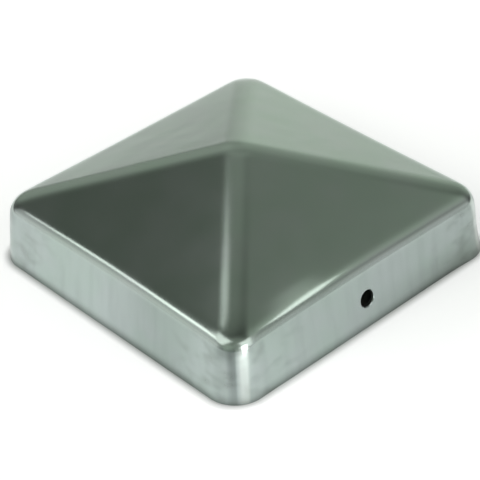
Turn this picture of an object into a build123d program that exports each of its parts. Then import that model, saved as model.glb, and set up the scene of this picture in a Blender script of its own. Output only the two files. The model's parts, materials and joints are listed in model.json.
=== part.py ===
# Pyramid post cap, drawn in one piece from a square blank of stainless sheet.
# Origin at the middle of the rim, +Z up through the apex, +X through a screw hole.
from build123d import *
import math
import os

# Driving dimensions in millimetres, the draft in degrees.
# Heights and radii are those of the inner face, which takes the shape of the punch.
post_width = 90.0
post_clearance = 0.5
sheet_thickness = 1.0
skirt_height = 16.5
skirt_draft = 6.0
roof_rise = 16.2
corner_radius = 5.8
eave_radius = 3.2
ridge_radius = 12.0
screw_hole_diameter = 4.5
screw_hole_height = 8.0

# Sizes that follow from them
draft_run = math.tan(math.radians(skirt_draft))
draft_cosine = math.cos(math.radians(skirt_draft))
rim_half = post_width / 2 + post_clearance
eave_half = rim_half - skirt_height * draft_run
roof_slope = math.atan2(roof_rise, eave_half)
apex_height = skirt_height + roof_rise
rim_corner_radius = corner_radius + skirt_height * draft_run
# The inner form reaches below the rim, so that it cuts the mouth open
mouth_overrun = 2 * sheet_thickness


def skirt_block(growth, foot):
    """Tapered block with rounded corners, its sides growth outside the inner face, from foot up past the roof."""
    widening = growth / draft_cosine - foot * draft_run
    width = 2 * (rim_half + widening)
    base = Plane.XY.offset(foot) * RectangleRounded(width, width, rim_corner_radius + widening)
    return extrude(base, amount=apex_height + growth - foot, taper=skirt_draft)


def roof_block(growth, foot):
    """Pyramid with its ridges and apex rounded to one radius, its sides growth outside the inner face."""
    core_apex = apex_height - ridge_radius / math.cos(roof_slope)
    core_half = (core_apex - foot) / math.tan(roof_slope)
    corners = [Vector(x * core_half, y * core_half, foot) for x, y in ((-1, -1), (1, -1), (1, 1), (-1, 1))]
    outlines = [corners] + [[corners[i - 1], corners[i], Vector(0, 0, core_apex)] for i in range(4)]
    core = Solid(Shell([Face(Wire.make_polygon(outline)) for outline in outlines]))
    return offset(core, amount=ridge_radius + growth, kind=Kind.ARC)


def formed_block(growth, foot):
    """All that lies under one face of the sheet, with the eave rounded all the way round."""
    skirt = skirt_block(growth, foot)
    roof = roof_block(growth, foot)
    block = skirt & roof
    eave = new_edges(skirt, roof, combined=block)
    return fillet(eave, eave_radius + growth)


def screw_hole(side):
    """Round punch through the skirt on one side of X, square to the wall."""
    wall_x = rim_half - screw_hole_height * draft_run
    wall = Plane((side * wall_x, 0, screw_hole_height), x_dir=(0, 1, 0), z_dir=(side, 0, draft_run))
    return extrude(wall * Circle(screw_hole_diameter / 2), amount=2 * sheet_thickness, both=True)


def post_cap():
    outside = formed_block(sheet_thickness, 0)
    inside = formed_block(0, -mouth_overrun)
    return outside - inside - screw_hole(1) - screw_hole(-1)


os.makedirs("parts", exist_ok=True)
export_step(post_cap(), "parts/post_cap.step")
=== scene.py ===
# Looks of the pyramid post cap: camera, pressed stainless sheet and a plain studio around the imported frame.
import json
import math

import bpy
import numpy as np
from mathutils import Matrix, Vector, noise


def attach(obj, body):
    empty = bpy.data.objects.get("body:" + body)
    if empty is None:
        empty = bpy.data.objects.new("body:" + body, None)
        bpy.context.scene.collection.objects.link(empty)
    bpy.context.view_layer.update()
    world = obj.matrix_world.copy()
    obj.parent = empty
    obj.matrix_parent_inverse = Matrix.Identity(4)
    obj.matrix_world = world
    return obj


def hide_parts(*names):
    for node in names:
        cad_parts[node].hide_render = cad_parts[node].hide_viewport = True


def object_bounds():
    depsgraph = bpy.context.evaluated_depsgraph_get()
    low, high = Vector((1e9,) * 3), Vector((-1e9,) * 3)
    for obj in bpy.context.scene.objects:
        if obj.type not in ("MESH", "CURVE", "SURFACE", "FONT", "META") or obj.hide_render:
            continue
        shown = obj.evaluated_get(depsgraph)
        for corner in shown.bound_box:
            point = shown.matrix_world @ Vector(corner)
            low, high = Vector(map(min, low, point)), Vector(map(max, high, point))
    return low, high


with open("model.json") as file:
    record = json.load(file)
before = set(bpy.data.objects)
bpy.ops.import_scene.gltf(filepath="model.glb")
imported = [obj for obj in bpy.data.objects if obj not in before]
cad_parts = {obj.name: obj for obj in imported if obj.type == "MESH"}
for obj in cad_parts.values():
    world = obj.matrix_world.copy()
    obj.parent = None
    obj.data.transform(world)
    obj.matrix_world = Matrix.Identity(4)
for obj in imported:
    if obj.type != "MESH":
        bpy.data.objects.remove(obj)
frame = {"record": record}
cad_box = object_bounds()
scene = bpy.context.scene
rim_width = cad_box[1].x - cad_box[0].x
screw = next(mount for mount in frame["record"]["mounts"] if mount["name"] == "screw_hole_right")

# Camera, as fitted to the photograph's outline; lengths are in rim widths
CAMERA_AZIMUTH = math.radians(48.49)
CAMERA_ELEVATION = math.radians(34.89)
CAMERA_ROLL = math.radians(-3.08)
CAMERA_DISTANCE = 5.02 * rim_width
CAMERA_AIM_DOWN = math.radians(1.522)
CAMERA_AIM_HEIGHT = 0.2 * rim_width
CAMERA_CLIP_START = 0.01
SENSOR_WIDTH = 36.0
FRAME_SIZE = 480
FOCAL_PIXELS = 1798.9

# Studio directions: right and away as the camera sees them, level with the floor
RIGHT = Vector((math.cos(CAMERA_AZIMUTH), math.sin(CAMERA_AZIMUTH), 0))
AWAY = Vector((-math.sin(CAMERA_AZIMUTH), math.cos(CAMERA_AZIMUTH), 0))
UP = Vector((0, 0, 1))

# The sheet in millimetres: sizes of the solid's inner face, but with softer ridges and broken cut edges
MILLIMETRE = 0.001
SHEET_THICKNESS = screw["dims"]["length_mm"]
HOLE_RADIUS = screw["dims"]["r_mm"]
DRAFT = math.asin(screw["axis"][2])
LEAN = math.tan(DRAFT)
RIM_HALF = cad_box[1].x / MILLIMETRE - SHEET_THICKNESS / math.cos(DRAFT)
SKIRT_HEIGHT = 16.5
ROOF_RISE = 16.2
CORNER_RADIUS = 5.8
EAVE_RADIUS = 3.2
RIDGE_RADIUS = 14.5
EDGE_BREAK = 0.2
EDGE_DEPTH = EDGE_BREAK / SHEET_THICKNESS
RIM_CORNER_RADIUS = CORNER_RADIUS + SKIRT_HEIGHT * LEAN
EAVE_HALF = RIM_HALF - SKIRT_HEIGHT * LEAN
SLOPE = math.atan2(ROOF_RISE, EAVE_HALF)
CORE_APEX = SKIRT_HEIGHT + ROOF_RISE - RIDGE_RADIUS / math.cos(SLOPE)

# Spacing of the mesh: spans along a wall, in half walls, and up the sheet, each with its number of cells
WALL_SPANS = ((-1, -0.8, 16), (-0.8, -0.1, 23), (-0.1, 0.1, 12), (0.1, 0.8, 23), (0.8, 1, 16))
HOLE_SPAN = 2
SKIRT_SPANS = ((EDGE_BREAK, 3.5, 4), (3.5, 12.5, 12), (12.5, 14, 2), (14, SKIRT_HEIGHT, 10))
HOLE_RISE_SPAN = 1
ROOF_SPANS = ((0, 0.12, 16), (0.12, 0.8, 28), (0.8, 1, 12))
HOLE_RING_SHARES = (0.3, 0.6, 0.85)

# How finely the mesh is worked out, and the angle from which an edge is sharp
HALVINGS = 32
SLOPE_STEP = 0.001
LEAST_SINE_SQUARED = 1e-6
SHARP_ANGLE = math.radians(25)

# Unevenness that pressing leaves in the sheet, in millimetres: how deep, and how far from wave to wave
PANEL_WAVE, PANEL_WAVE_LENGTH = 0.03, 24.0
FINE_WAVE, FINE_WAVE_LENGTH = 0.012, 6.0
PUCKER, PUCKER_LENGTH, PUCKER_HEIGHT = 0.10, 6.0, 60.0
# Puckers fade out over these shares of the skirt's height and come up over these shares of the half rim
PUCKER_FADE = (0.5, 1.0)
PUCKER_CORNER = (0.4, 0.9)
# Rim bent out at the corner of +X and +Y: how far, and how soon that fades upwards and round the corner
RIM_FLARE, RIM_FLARE_RISE, RIM_FLARE_REACH = 0.8, 2.6, 7.0
# Spot knocked into the eave of the +X wall: how deep, its place along Y, its reach inwards and its spread
KNOCK, KNOCK_PLACE, KNOCK_REACH, KNOCK_SPREAD = 0.22, -20.0, 5.5, 5.5
# Share of the skirt's height at which that spot begins
KNOCK_FOOT = 0.6
# Walls drawn in between their corners: how deep at the eave, and where above it this fades out
HOLLOW = 0.45
HOLLOW_FADE = (2.0, 10.0)
# Springback at the eave: reach, passes and share moved in each, less of it on walls than at corners
SPRINGBACK_REACH, SPRINGBACK_PASSES, SPRINGBACK_SHARE = 2.5, 60, 0.25
SPRINGBACK_ON_WALLS = 0.25
SPRINGBACK_CORNER = (0.8, 0.97)

# Floor: half its width in metres, and how it glows around the cap and far away
FLOOR_HALF_WIDTH = 3.0
GLOW_IN_FRONT, GLOW_BEHIND = 0.56, 0.66
# Glow taken away close beside the cap on the right, as a painted shadow
GLOW_LOST_TO_PAINTED_SHADOW = 0.05
GLOW_GAINED_OUTSIDE = 0.08
GLOW_SHARE_FAR_AWAY = 0.62

# Soft round patches of light in a dim room: azimuth, elevation, angles of full and of no light, level
ROOM_LEVEL = 0.076
BEHIND_LOW = (
    (20, -8, 5, 40, 0.2),
    (26, 0, 4, 30, 0.13),
    (4, 8, 4, 13, 0.18),
    (-14, 10, 10, 42, 0.15),
    (-21, 19, 6, 20, 0.2),
    (28, 16, 8, 29, 0.15),
)
BEHIND_HIGH = (
    (4, 44, 12, 28, 0.24),
    (-20, 66, 2, 22, 0.1),
    (-51, 41, 4, 16, 0.04),
    (22, 59, 3, 13, 0.05),
    (65, 48, 8, 26, 0.175),
)
BESIDE = (
    (-92, -4, 6, 28, 0.3),
    (-92, 4, 14, 40, 0.6),
    (95, -4, 6, 30, 0.25),
    (95, -1, 13, 34, 0.36),
    (82, 36, 10, 36, 0.26),
)
IN_FRONT = (
    (180, 60, 15, 35, 0.2),
    (185, 10, 12, 40, 0.34),
    (-138, 14, 14, 42, 0.4),
)
ROOM_COLOUR = (0.9, 1.0, 0.88, 1)
SIDE_COLOUR = (1, 1, 1, 1)

# Watts that each square metre of a lamp takes for a radiance of one
WATTS_PER_RADIANCE = 4


def studio(right, away, up):
    """A point or direction given as the camera sees it, in the row frame."""
    return right * RIGHT + away * AWAY + up * UP


def heading(azimuth, elevation):
    """Direction by angles in degrees: azimuth 0 is away from the camera and 90 is to the right."""
    turn, tilt = math.radians(azimuth), math.radians(elevation)
    return studio(math.sin(turn) * math.cos(tilt), math.cos(turn) * math.cos(tilt), math.sin(tilt))


def make_camera():
    back = studio(0, -math.cos(CAMERA_ELEVATION), math.sin(CAMERA_ELEVATION))
    up = back.cross(RIGHT)
    turned_right = math.cos(CAMERA_ROLL) * RIGHT + math.sin(CAMERA_ROLL) * up
    turned_up = math.cos(CAMERA_ROLL) * up - math.sin(CAMERA_ROLL) * RIGHT
    forward = (-back - math.tan(CAMERA_AIM_DOWN) * turned_up).normalized()
    upright = turned_right.cross(forward)
    data = bpy.data.cameras.new("camera")
    data.sensor_width = SENSOR_WIDTH
    data.lens = FOCAL_PIXELS / FRAME_SIZE * SENSOR_WIDTH
    data.clip_start = CAMERA_CLIP_START
    camera = bpy.data.objects.new("camera", data)
    turn = Matrix((turned_right, upright, -forward)).transposed().to_4x4()
    camera.matrix_world = Matrix.Translation(CAMERA_AIM_HEIGHT * UP + CAMERA_DISTANCE * back) @ turn
    scene.collection.objects.link(camera)
    scene.camera = camera


def ease(values, low, high):
    """Smooth step from 0 at low to 1 at high."""
    share = np.clip((values - low) / (high - low), 0, 1)
    return share ** 2 * (3 - 2 * share)


def bell(distance, reach):
    """Smooth hump that is 1 at no distance and dies away beyond reach."""
    return np.exp(-0.5 * (distance / reach) ** 2)


# Distances in millimetres outside a face of the sheet, which lies growth outside the inner face
def skirt_distance(points, growth):
    """From the tapered walls and their rounded corners."""
    beyond = np.abs(points[..., :2]) - (RIM_HALF - RIM_CORNER_RADIUS)
    outward = np.maximum(beyond, 0)
    reach = np.hypot(outward[..., 0], outward[..., 1]) + np.minimum(beyond.max(axis=-1), 0)
    radius = RIM_CORNER_RADIUS - points[..., 2] * LEAN
    return (reach - radius) * math.cos(DRAFT) - growth


def roof_distance(points, growth):
    """From the pyramid, whose ridges and apex are round about the edges of a smaller, sharp core."""
    across = np.sort(np.abs(points[..., :2]), axis=-1)
    near, far = across[..., 0], across[..., 1]
    above = points[..., 2] - CORE_APEX
    fall = math.tan(SLOPE)
    from_face = far * math.sin(SLOPE) + above * math.cos(SLOPE)
    foot = far - from_face * math.sin(SLOPE)
    along = np.maximum((near + far - above * fall) / (2 + fall ** 2), 0)
    from_ridge = np.sqrt((near - along) ** 2 + (far - along) ** 2 + (above + along * fall) ** 2)
    on_face = (from_face < 0) | (foot >= near)
    return np.where(on_face, from_face, from_ridge) - RIDGE_RADIUS - growth


def facing(distance, points, growth):
    """Unit vectors in which a distance grows fastest."""
    moves = SLOPE_STEP * np.eye(3)
    slopes = [distance(points + move, growth) - distance(points - move, growth) for move in moves]
    vectors = np.stack(slopes, axis=-1)
    return vectors / np.linalg.norm(vectors, axis=-1, keepdims=True)


def sheet_distance(points, growth):
    """From walls and roof together, with the eave rounded by a ball that rolls inside both."""
    radius = EAVE_RADIUS + growth
    skirt = skirt_distance(points, growth) + radius
    roof = roof_distance(points, growth) + radius
    cosine = np.sum(facing(skirt_distance, points, growth) * facing(roof_distance, points, growth), axis=-1)
    squared = np.maximum(skirt ** 2 + roof ** 2 - 2 * skirt * roof * cosine, 0)
    rounded = np.sqrt(squared / np.maximum(1 - cosine ** 2, LEAST_SINE_SQUARED))
    on_eave = (skirt > roof * cosine) & (roof > skirt * cosine)
    return np.where(on_eave, rounded, np.maximum(skirt, roof)) - radius


def cast(rays, growth):
    """Where rays from the middle of the rim meet a face, found by halving."""
    low = np.zeros(rays.shape[:-1])
    high = np.full(rays.shape[:-1], 2 * RIM_HALF)
    for _ in range(HALVINGS):
        middle = (low + high) / 2
        outside = sheet_distance(middle[..., None] * rays, growth) > 0
        high = np.where(outside, middle, high)
        low = np.where(outside, low, middle)
    return low[..., None] * rays


def spread(spans):
    """Places along spans of (start, end, cells), without the last end."""
    return np.concatenate([np.linspace(start, end, cells, endpoint=False) for start, end, cells in spans])


def sheet_rays():
    """Rows of rays round the cap, from just above the rim to just below the apex."""
    along = spread(WALL_SPANS)
    ahead = np.ones_like(along)
    sides = ((ahead, along), (-along, ahead), (-ahead, -along), (along, -ahead))
    square = np.concatenate([np.stack(side, axis=-1) for side in sides])
    skirt_rise = spread(SKIRT_SPANS)
    roof_share = spread(ROOF_SPANS)
    halves = np.concatenate([RIM_HALF - skirt_rise * LEAN, EAVE_HALF * (1 - roof_share)])
    heights = np.concatenate([skirt_rise, SKIRT_HEIGHT + ROOF_RISE * roof_share])
    level = np.broadcast_to(heights[:, None, None], (len(heights), len(square), 1))
    targets = np.concatenate([halves[:, None, None] * square, level], axis=-1)
    return targets / np.linalg.norm(targets, axis=-1, keepdims=True)


class SheetMesh:
    """Points and faces of the sheet, gathered ring by ring, with depths from 0 outside to 1 inside."""

    def __init__(self):
        self.points, self.depths, self.faces, self.count = [], [], [], 0

    def add(self, points, depth):
        """Stores points at one depth and returns their numbers in the same arrangement."""
        numbers = self.count + np.arange(points[..., 0].size).reshape(points.shape[:-1])
        self.points.append(points.reshape(-1, 3))
        self.depths.append(np.full(numbers.size, float(depth)))
        self.count += numbers.size
        return numbers

    def strip(self, lower, upper, gaps=()):
        """Four-sided faces between two closed rings, except at the places in gaps."""
        quads = np.stack([lower, np.roll(lower, -1), np.roll(upper, -1), upper], axis=-1)
        self.faces += np.delete(quads, list(gaps), axis=0).tolist()

    def fan(self, ring, tip):
        """Three-sided faces from a closed ring to one point."""
        self.faces += [(a, b, tip) for a, b in zip(ring.tolist(), np.roll(ring, -1).tolist())]

    def all_points(self):
        return np.concatenate(self.points)

    def all_depths(self):
        return np.concatenate(self.depths)


def rim_ring(outside):
    """The cut edge, level with the floor and taken back by the edge break into the sheet."""
    growth = SHEET_THICKNESS if outside else 0
    level = sheet_rays()[0] * (1, 1, 0)
    ring = cast(level / np.linalg.norm(level, axis=-1, keepdims=True), growth)
    outward = facing(skirt_distance, ring, growth) * (1, 1, 0)
    return ring - outward * (EDGE_BREAK if outside else -EDGE_BREAK)


def patch_loop(grid, rows, columns):
    """The numbers round a patch of a grid, counter-clockwise as seen from outside."""
    first_row, last_row = rows
    first_column, last_column = columns
    return np.concatenate([
        grid[first_row, first_column:last_column],
        grid[first_row:last_row, last_column],
        grid[last_row, last_column:first_column:-1],
        grid[last_row:first_row:-1, first_column],
    ])


def hole_rings(mesh, outer_loop, inner_loop, side):
    """Rings of points from the outer wall through a screw hole to the inner wall."""
    axis = np.array([side * math.cos(DRAFT), 0, math.sin(DRAFT)])
    middle = np.array([side * screw["pos_m"][0], 0, screw["pos_m"][2]]) / MILLIMETRE
    across = np.array([0, side, 0])
    rise = np.array([-side * math.sin(DRAFT), 0, math.cos(DRAFT)])
    points = mesh.all_points()
    half = SHEET_THICKNESS / 2

    def circle(loop, radius, height):
        from_middle = points[loop] - middle
        turn = np.arctan2(from_middle @ rise, from_middle @ across)
        spokes = np.outer(np.cos(turn), across) + np.outer(np.sin(turn), rise)
        return middle + height * axis + radius * spokes

    def between(loop, edge, depth):
        start = points[loop]
        return [mesh.add(start + share * (edge - start), depth) for share in HOLE_RING_SHARES]

    outer_edge = circle(outer_loop, HOLE_RADIUS + EDGE_BREAK, half)
    outer_bore = circle(outer_loop, HOLE_RADIUS, half - EDGE_BREAK)
    inner_bore = circle(outer_loop, HOLE_RADIUS, EDGE_BREAK - half)
    inner_edge = circle(inner_loop, HOLE_RADIUS + EDGE_BREAK, -half)
    rings = [outer_loop, *between(outer_loop, outer_edge, 0)]
    rings += [mesh.add(outer_edge, 0), mesh.add(outer_bore, EDGE_DEPTH)]
    rings += [mesh.add(inner_bore, 1 - EDGE_DEPTH), mesh.add(inner_edge, 1)]
    return rings + between(inner_loop, inner_edge, 1)[::-1] + [inner_loop]


def sprung(rows):
    """Rows of points with the eave's bend run out softly into wall and roof, most at the corners."""
    across = np.sort(np.abs(rows[1:-1, :, :2]), axis=-1)
    at_corner = ease(across[..., :1] / across[..., 1:], *SPRINGBACK_CORNER)
    share = SPRINGBACK_SHARE * bell(rows[1:-1, :, 2:] - SKIRT_HEIGHT, SPRINGBACK_REACH)
    share *= SPRINGBACK_ON_WALLS + (1 - SPRINGBACK_ON_WALLS) * at_corner
    for _ in range(SPRINGBACK_PASSES):
        rows[1:-1] += share * (rows[:-2] - 2 * rows[1:-1] + rows[2:])
    return rows


def build_sheet():
    """The sheet as one chain of rings, from the inner apex down to the rim and up outside."""
    mesh = SheetMesh()
    rays = sheet_rays()
    outer = mesh.add(sprung(cast(rays, SHEET_THICKNESS)), 0)
    inner = mesh.add(sprung(cast(rays, 0)), 1)
    outer_rim = mesh.add(rim_ring(outside=True), EDGE_DEPTH)
    inner_rim = mesh.add(rim_ring(outside=False), 1 - EDGE_DEPTH)
    top = np.array([[0, 0, 1.0]])
    outer_apex = mesh.add(cast(top, SHEET_THICKNESS), 0)[0]
    inner_apex = mesh.add(cast(top, 0), 1)[0]

    wall_cells = [cells for _, _, cells in WALL_SPANS]
    skirt_cells = [cells for _, _, cells in SKIRT_SPANS]
    row = sum(skirt_cells[:HOLE_RISE_SPAN])
    last_row = row + skirt_cells[HOLE_RISE_SPAN]
    column = sum(wall_cells[:HOLE_SPAN])
    last_column = column + wall_cells[HOLE_SPAN]
    hole_sides = {1: 0, -1: 2 * sum(wall_cells)}
    gaps = [start + place for start in hole_sides.values() for place in range(column, last_column)]

    for lower in range(len(rays) - 1):
        upper = lower + 1
        missing = gaps if row <= lower < last_row else ()
        mesh.strip(outer[lower], outer[upper], missing)
        mesh.strip(inner[upper], inner[lower], missing)
    mesh.strip(inner[0], inner_rim)
    mesh.strip(inner_rim, outer_rim)
    mesh.strip(outer_rim, outer[0])
    mesh.fan(outer[-1], outer_apex)
    mesh.fan(inner[-1][::-1], inner_apex)
    for side, start in hole_sides.items():
        columns = (start + column, start + last_column)
        outer_loop, inner_loop = (patch_loop(grid, (row, last_row), columns) for grid in (outer, inner))
        rings = hole_rings(mesh, outer_loop, inner_loop, side)
        for ring, next_ring in zip(rings, rings[1:]):
            mesh.strip(ring, next_ring)
    return mesh


def waves(points, lengths):
    """Smooth noise between -1 and 1, with about these lengths from wave to wave along X, Y and Z."""
    return np.array([noise.noise(Vector(place)) for place in points / lengths])


def pressed(points):
    """The points moved a little square to the sheet, as pressing leaves them."""
    x, y, z = points.T
    near, far = np.sort(np.abs(points[:, :2]), axis=1).T
    up_skirt = z / SKIRT_HEIGHT
    puckered = (1 - ease(up_skirt, *PUCKER_FADE)) * ease(near / RIM_HALF, *PUCKER_CORNER)
    shift = PANEL_WAVE * waves(points, PANEL_WAVE_LENGTH)
    shift += FINE_WAVE * waves(points, FINE_WAVE_LENGTH)
    shift += PUCKER * puckered * waves(points, (PUCKER_LENGTH, PUCKER_LENGTH, PUCKER_HEIGHT))
    from_flare = np.hypot(x - RIM_HALF, y - RIM_HALF)
    shift += RIM_FLARE * np.exp(-z / RIM_FLARE_RISE) * bell(from_flare, RIM_FLARE_REACH)
    knocked = ease(x, EAVE_HALF - KNOCK_REACH, EAVE_HALF) * ease(up_skirt, KNOCK_FOOT, 1)
    shift -= KNOCK * knocked * bell(y - KNOCK_PLACE, KNOCK_SPREAD)
    moved = points + shift[:, None] * facing(sheet_distance, points, SHEET_THICKNESS / 2)

    between_corners = (1 - (near / np.maximum(far, 1)) ** 2) ** 2
    drawn_in = HOLLOW * between_corners * ease(up_skirt, 0, 1)
    drawn_in *= 1 - ease(z - SKIRT_HEIGHT, *HOLLOW_FADE)
    on_x_wall = np.abs(x) > np.abs(y)
    moved[:, 0] -= drawn_in * np.sign(x) * on_x_wall
    moved[:, 1] -= drawn_in * np.sign(y) * ~on_x_wall
    moved[:, 2] = np.maximum(moved[:, 2], 0) + drawn_in * math.tan(SLOPE)
    return moved


def make_sheet():
    built = build_sheet()
    data = bpy.data.meshes.new("pressed_sheet")
    data.from_pydata((pressed(built.all_points()) * MILLIMETRE).tolist(), [], built.faces)
    data.polygons.foreach_set("use_smooth", np.ones(len(data.polygons), dtype=bool))
    data.set_sharp_from_angle(angle=SHARP_ANGLE)
    depth = data.attributes.new("depth_in_sheet", "FLOAT", "POINT")
    depth.data.foreach_set("value", built.all_depths())
    sheet = bpy.data.objects.new("pressed_sheet", data)
    scene.collection.objects.link(sheet)
    data.materials.append(make_stainless())
    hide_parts("post_cap")
    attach(sheet, "root")


class Graph:
    """Short ways to add nodes to a material or world and link them."""

    def __init__(self, owner):
        owner.use_nodes = True
        self.nodes, self.links = owner.node_tree.nodes, owner.node_tree.links
        self.nodes.clear()

    def add(self, kind, inputs, **settings):
        """A node with its settings, and its inputs set to values or linked to sockets."""
        node = self.nodes.new("ShaderNode" + kind)
        for name, value in settings.items():
            setattr(node, name, value)
        for socket, value in inputs.items():
            if isinstance(value, bpy.types.NodeSocket):
                self.links.new(value, node.inputs[socket])
            else:
                node.inputs[socket].default_value = value
        return node

    def math(self, operation, first, second=0.0):
        return self.add("Math", {0: first, 1: second}, operation=operation).outputs[0]

    def product(self, first, *others):
        for other in others:
            first = self.math("MULTIPLY", first, other)
        return first

    def raised(self, value, share, amount):
        """A value with a share of an amount added."""
        return self.math("ADD", value, self.math("MULTIPLY", share, amount))

    def vector(self, operation, first, second=(0, 0, 0), output="Vector"):
        return self.add("VectorMath", {0: first, 1: second}, operation=operation).outputs[output]

    def along(self, place, direction):
        """How far a place lies in a direction."""
        return self.vector("DOT_PRODUCT", place, direction, output="Value")

    def step(self, value, low, high, bottom=0.0, top=1.0):
        """Smooth step from bottom at low to top at high."""
        spans = {"Value": value, "From Min": low, "From Max": high, "To Min": bottom, "To Max": top}
        return self.add("MapRange", spans, interpolation_type="SMOOTHSTEP").outputs["Result"]

    def mix(self, share, first, second, blend_type="MIX"):
        inputs = {0: share, 6: first, 7: second}
        return self.add("Mix", inputs, data_type="RGBA", blend_type=blend_type).outputs[2]

    def tinted(self, colour, share, tint):
        """A colour multiplied by a tint, to the given share."""
        return self.mix(share, colour, (*tint, 1), "MULTIPLY")

    def noise(self, place, scale, detail=2.0):
        return self.add("TexNoise", {"Vector": place, "Scale": scale, "Detail": detail}).outputs["Fac"]


def make_stainless():
    """Satin stainless sheet: cloudy, streaked down the skirt, with painted highlights and painted shade down
    its corners, painted shade at its foot and on the +X wall, dull inside.
    """
    material = bpy.data.materials.new("stainless_sheet")
    graph = Graph(material)

    def rise(value, low, high, bottom=0.0, top=1.0):
        """Smooth step between two places in millimetres."""
        return graph.step(value, low * MILLIMETRE, high * MILLIMETRE, bottom, top)

    def fall(value, low, high):
        return rise(value, low, high, 1.0, 0.0)

    place = graph.add("TexCoord", {}).outputs["Object"]
    signed = graph.add("SeparateXYZ", {0: place}).outputs
    apart = graph.add("SeparateXYZ", {0: graph.vector("ABSOLUTE", place)}).outputs
    to_corner = graph.math("MINIMUM", apart["X"], apart["Y"])
    turn = graph.math("SUBTRACT", apart["X"], apart["Y"])
    skirt = fall(apart["Z"], 15, 17)

    # Cloudy steel with a fine grain, a little bluer on the skirt
    clouds = graph.step(graph.noise(place, 75), 0.3, 0.7)
    colour = graph.mix(clouds, (0.43, 0.51, 0.455, 1), (0.45, 0.51, 0.475, 1))
    colour = graph.tinted(colour, skirt, (1, 1, 1.045))
    grain = graph.noise(place, 1800, 3)
    roughness = graph.raised(0.19, clouds, 0.02)
    roughness = graph.raised(roughness, grain, 0.03)

    # Streaks down the skirt, and smudges towards its corners
    streaks = graph.noise(graph.vector("MULTIPLY", place, (1, 1, 0.06)), 300, 3)
    streaked = graph.product(skirt, graph.step(streaks, 0.4, 0.75))
    colour = graph.tinted(colour, streaked, (0.93, 0.93, 0.93))
    smudges = graph.noise(graph.vector("MULTIPLY", place, (1, 1, 1.6)), 190, 1)
    smudged = graph.product(skirt, rise(to_corner, 15, 38), graph.step(smudges, 0.42, 0.74))
    colour = graph.tinted(colour, smudged, (0.85, 0.85, 0.84))
    roughness = graph.raised(roughness, smudged, 0.06)

    # Painted shade along the foot of the skirt, painted shade over the +X wall and deeper low towards its +Y
    # end, and a darker patch on the -Y wall
    # Painted shade at the foot of the skirt, darkest at the rim
    painted_rim_foot_shade = fall(apart["Z"], 0.5, 3.5)
    colour = graph.tinted(colour, painted_rim_foot_shade, (0.72, 0.72, 0.71))
    # Painted shade over the skirt of the +X wall, easing off at its +Y end
    painted_right_wall_shade = graph.product(rise(signed["X"], 34, 42), skirt)
    shade_eased_at_plus_y_end = rise(signed["Y"], 36, 44, 1.0, 0.2)
    colour = graph.tinted(colour, graph.product(painted_right_wall_shade, shade_eased_at_plus_y_end), (0.84, 0.84, 0.84))
    # Painted shade, deeper low down towards the +Y end of the +X wall
    painted_low_right_shade = graph.product(painted_right_wall_shade, rise(signed["Y"], -12, 40), fall(apart["Z"], 1, 11))
    colour = graph.tinted(colour, painted_low_right_shade, (0.62, 0.62, 0.6))
    # Darker patch on the skirt of the -Y wall, towards its +X end
    darker_patch = graph.product(fall(signed["Y"], -42, -34), skirt)
    darker_patch = graph.product(darker_patch, rise(signed["X"], -6, 18), fall(signed["X"], 22, 40))
    colour = graph.tinted(colour, darker_patch, (0.81, 0.81, 0.81))

    # Down each corner a painted highlight strip, a strip of painted shade beside it, and painted shade under
    # the eave
    corner = graph.product(rise(to_corner, 36, 38.5), skirt)
    # Painted highlight strip down each corner
    painted_corner_highlight = graph.product(corner, rise(turn, 0.9, 2.7), fall(turn, 4.2, 5.6))
    colour = graph.tinted(colour, painted_corner_highlight, (1.4, 1.34, 1.34))
    # Strip of painted shade beside the painted highlight, weaker low down
    painted_corner_shade_strip = graph.product(corner, rise(turn, -3.2, -0.6), fall(turn, 0.2, 1.3))
    painted_corner_shade_strip = graph.product(painted_corner_shade_strip, rise(apart["Z"], 0, 12, 0.6, 1.0))
    colour = graph.tinted(colour, painted_corner_shade_strip, (0.55, 0.56, 0.56))
    # Painted shade at the top of the skirt beside each corner, under the eave
    painted_eave_shade = graph.product(skirt, rise(apart["Z"], 11, 15), rise(turn, -9, -3), fall(turn, -1.5, 0.5))
    colour = graph.tinted(colour, painted_eave_shade, (0.7, 0.71, 0.7))

    # Duller inside, and dark and rough on the cut edges, whose dark tint is partly their own and partly
    # painted shade in the screw holes' bores
    inside = graph.add("Attribute", {}, attribute_name="depth_in_sheet").outputs["Fac"]
    dull = graph.step(inside, 0.15, 0.6)
    colour = graph.tinted(colour, dull, (0.8, 0.8, 0.78))
    roughness = graph.raised(roughness, dull, 0.14)
    # Cut edges darkened, partly their own tone and partly painted shade in the screw holes' bores
    cut_edge_and_bore_shade = graph.product(graph.step(inside, 0.15, 0.25), graph.step(inside, 0.75, 0.85, 1.0, 0.0))
    colour = graph.tinted(colour, cut_edge_and_bore_shade, (0.35, 0.35, 0.34))
    roughness = graph.raised(roughness, cut_edge_and_bore_shade, 0.3)

    relief = {"Height": grain, "Strength": 0.12, "Distance": 0.03 * MILLIMETRE}
    bump = graph.add("Bump", relief).outputs["Normal"]
    finish = {"Base Color": colour, "Metallic": 1.0, "Roughness": roughness, "Normal": bump}
    shader = graph.add("BsdfPrincipled", finish)
    graph.add("OutputMaterial", {"Surface": shader.outputs["BSDF"]})
    return material


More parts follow.
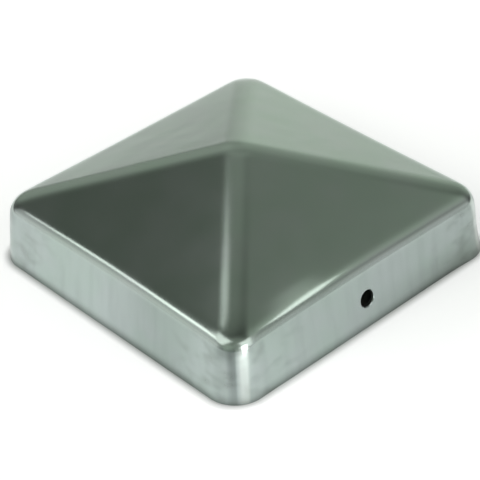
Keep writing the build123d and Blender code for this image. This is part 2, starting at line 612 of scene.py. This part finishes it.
def make_floor_white():
    """White that glows a little to whatever sees it, but not under the cap, with a painted contact shadow
    round its rim and a painted shadow close beside it on the right.
    """
    material = bpy.data.materials.new("floor_white")
    graph = Graph(material)
    rays = graph.add("LightPath", {}).outputs
    seen = graph.math("MAXIMUM", rays["Is Camera Ray"], rays["Is Glossy Ray"])
    seen = graph.math("MAXIMUM", seen, rays["Is Transmission Ray"])

    core = (RIM_HALF - RIM_CORNER_RADIUS) * MILLIMETRE
    rim = rim_width / 2 - core
    place = graph.add("NewGeometry", {}).outputs["Position"]
    beyond = graph.vector("SUBTRACT", graph.vector("ABSOLUTE", place), (core, core, 0))
    distance = graph.vector("LENGTH", graph.vector("MAXIMUM", beyond), output="Value")

    # Painted shadow: less glow close beside the cap on the right
    on_right = graph.step(graph.along(place, RIGHT), -0.3 * rim_width, 0.4 * rim_width)
    close = graph.step(distance, rim + 0.1 * rim_width, rim + 0.35 * rim_width, 1.0, 0.0)
    painted_shadow_on_right = graph.product(on_right, GLOW_LOST_TO_PAINTED_SHADOW, close)
    to_back = graph.along(place, AWAY)
    level = graph.step(to_back, -0.2 * rim_width, 1.3 * rim_width, GLOW_IN_FRONT, GLOW_BEHIND)
    gained = graph.step(distance, rim + 0.3 * rim_width, rim + 1.2 * rim_width, 0.0, GLOW_GAINED_OUTSIDE)
    level = graph.math("SUBTRACT", graph.math("ADD", level, gained), painted_shadow_on_right)
    # Painted contact shadow: no glow under the cap, rising to full just outside the rim
    outside_painted_contact_shadow = graph.step(distance, 0.95 * rim, rim + 2.5 * MILLIMETRE)
    far_share = graph.step(distance, 3 * rim_width, 13 * rim_width, 1.0, GLOW_SHARE_FAR_AWAY)
    strength = graph.product(seen, level, outside_painted_contact_shadow, far_share)

    glow = graph.add("Emission", {"Color": (1, 1, 1, 1), "Strength": strength}).outputs[0]
    diffuse = graph.add("BsdfDiffuse", {"Color": (0.8, 0.8, 0.8, 1)}).outputs[0]
    both = graph.add("AddShader", {0: diffuse, 1: glow}).outputs[0]
    graph.add("OutputMaterial", {"Surface": both})
    return material


def make_floor():
    half = FLOOR_HALF_WIDTH
    mesh = bpy.data.meshes.new("floor")
    corners = [(-half, -half, 0), (half, -half, 0), (half, half, 0), (-half, half, 0)]
    mesh.from_pydata(corners, [], [(0, 1, 2, 3)])
    mesh.materials.append(make_floor_white())
    floor = bpy.data.objects.new("floor", mesh)
    scene.collection.objects.link(floor)


def make_softbox(name, azimuth, elevation, distance, size, radiance, aim=(0, 0, 0.02)):
    """Area lamp seen from aim in that direction, facing it, that is mirrored at about this radiance."""
    data = bpy.data.lights.new(name, "AREA")
    data.shape = "RECTANGLE"
    data.size, data.size_y = size
    data.energy = radiance * WATTS_PER_RADIANCE * size[0] * size[1]
    lamp = bpy.data.objects.new(name, data)
    target = studio(*aim)
    lamp.location = target + distance * heading(azimuth, elevation)
    lamp.rotation_mode = "QUATERNION"
    lamp.rotation_quaternion = (target - lamp.location).to_track_quat("-Z", "Y")
    scene.collection.objects.link(lamp)


def make_world():
    """Dim room, faintly green in front and behind and neutral beside, with its patches of light."""
    world = bpy.data.worlds.new("studio")
    scene.world = world
    graph = Graph(world)
    direction = graph.add("TexCoord", {}).outputs["Generated"]
    total = ROOM_LEVEL
    for azimuth, elevation, full, none, level in BEHIND_LOW + BEHIND_HIGH + BESIDE + IN_FRONT:
        nearness = graph.along(direction, heading(azimuth, elevation))
        limits = [math.cos(math.radians(angle)) for angle in (none, full)]
        total = graph.math("ADD", total, graph.step(nearness, *limits, 0.0, level))
    sideways = graph.math("ABSOLUTE", graph.along(direction, RIGHT))
    colour = graph.mix(graph.step(sideways, 0.5, 0.9), ROOM_COLOUR, SIDE_COLOUR)
    background = graph.add("Background", {"Color": colour, "Strength": total})
    graph.add("OutputWorld", {"Surface": background.outputs[0]})


make_camera()
make_floor()
make_world()
make_softbox("softbox_left", -117, 52, 0.5, (0.38, 0.34), 1.05)
make_softbox("softbox_side", -84, 36, 0.5, (0.13, 0.08), 1.6)
make_softbox("softbox_front", 137, 28, 0.5, (0.34, 0.46), 1.05)
make_softbox("strip_behind", -34, 61, 0.28, (0.05, 0.05), 0.72, aim=(0, -0.045, 0.02))
make_softbox("lamp_left", -84, 33, 0.1, (0.03, 0.03), 0.35, aim=(-0.006, -0.054, 0.018))
make_softbox("lamp_right", 80, 48, 0.05, (0.02, 0.011), 1.2, aim=(0.0128, -0.0462, 0.018))
make_softbox("lamp_haze", 55, 57, 0.05, (0.012, 0.012), 0.16, aim=(0.0125, -0.045, 0.019))
make_softbox("lamp_corner", 145, 38, 0.028, (0.01, 0.032), 5.5, aim=(0.008, -0.073, 0))
make_sheet()
scene.view_settings.view_transform = "Standard"
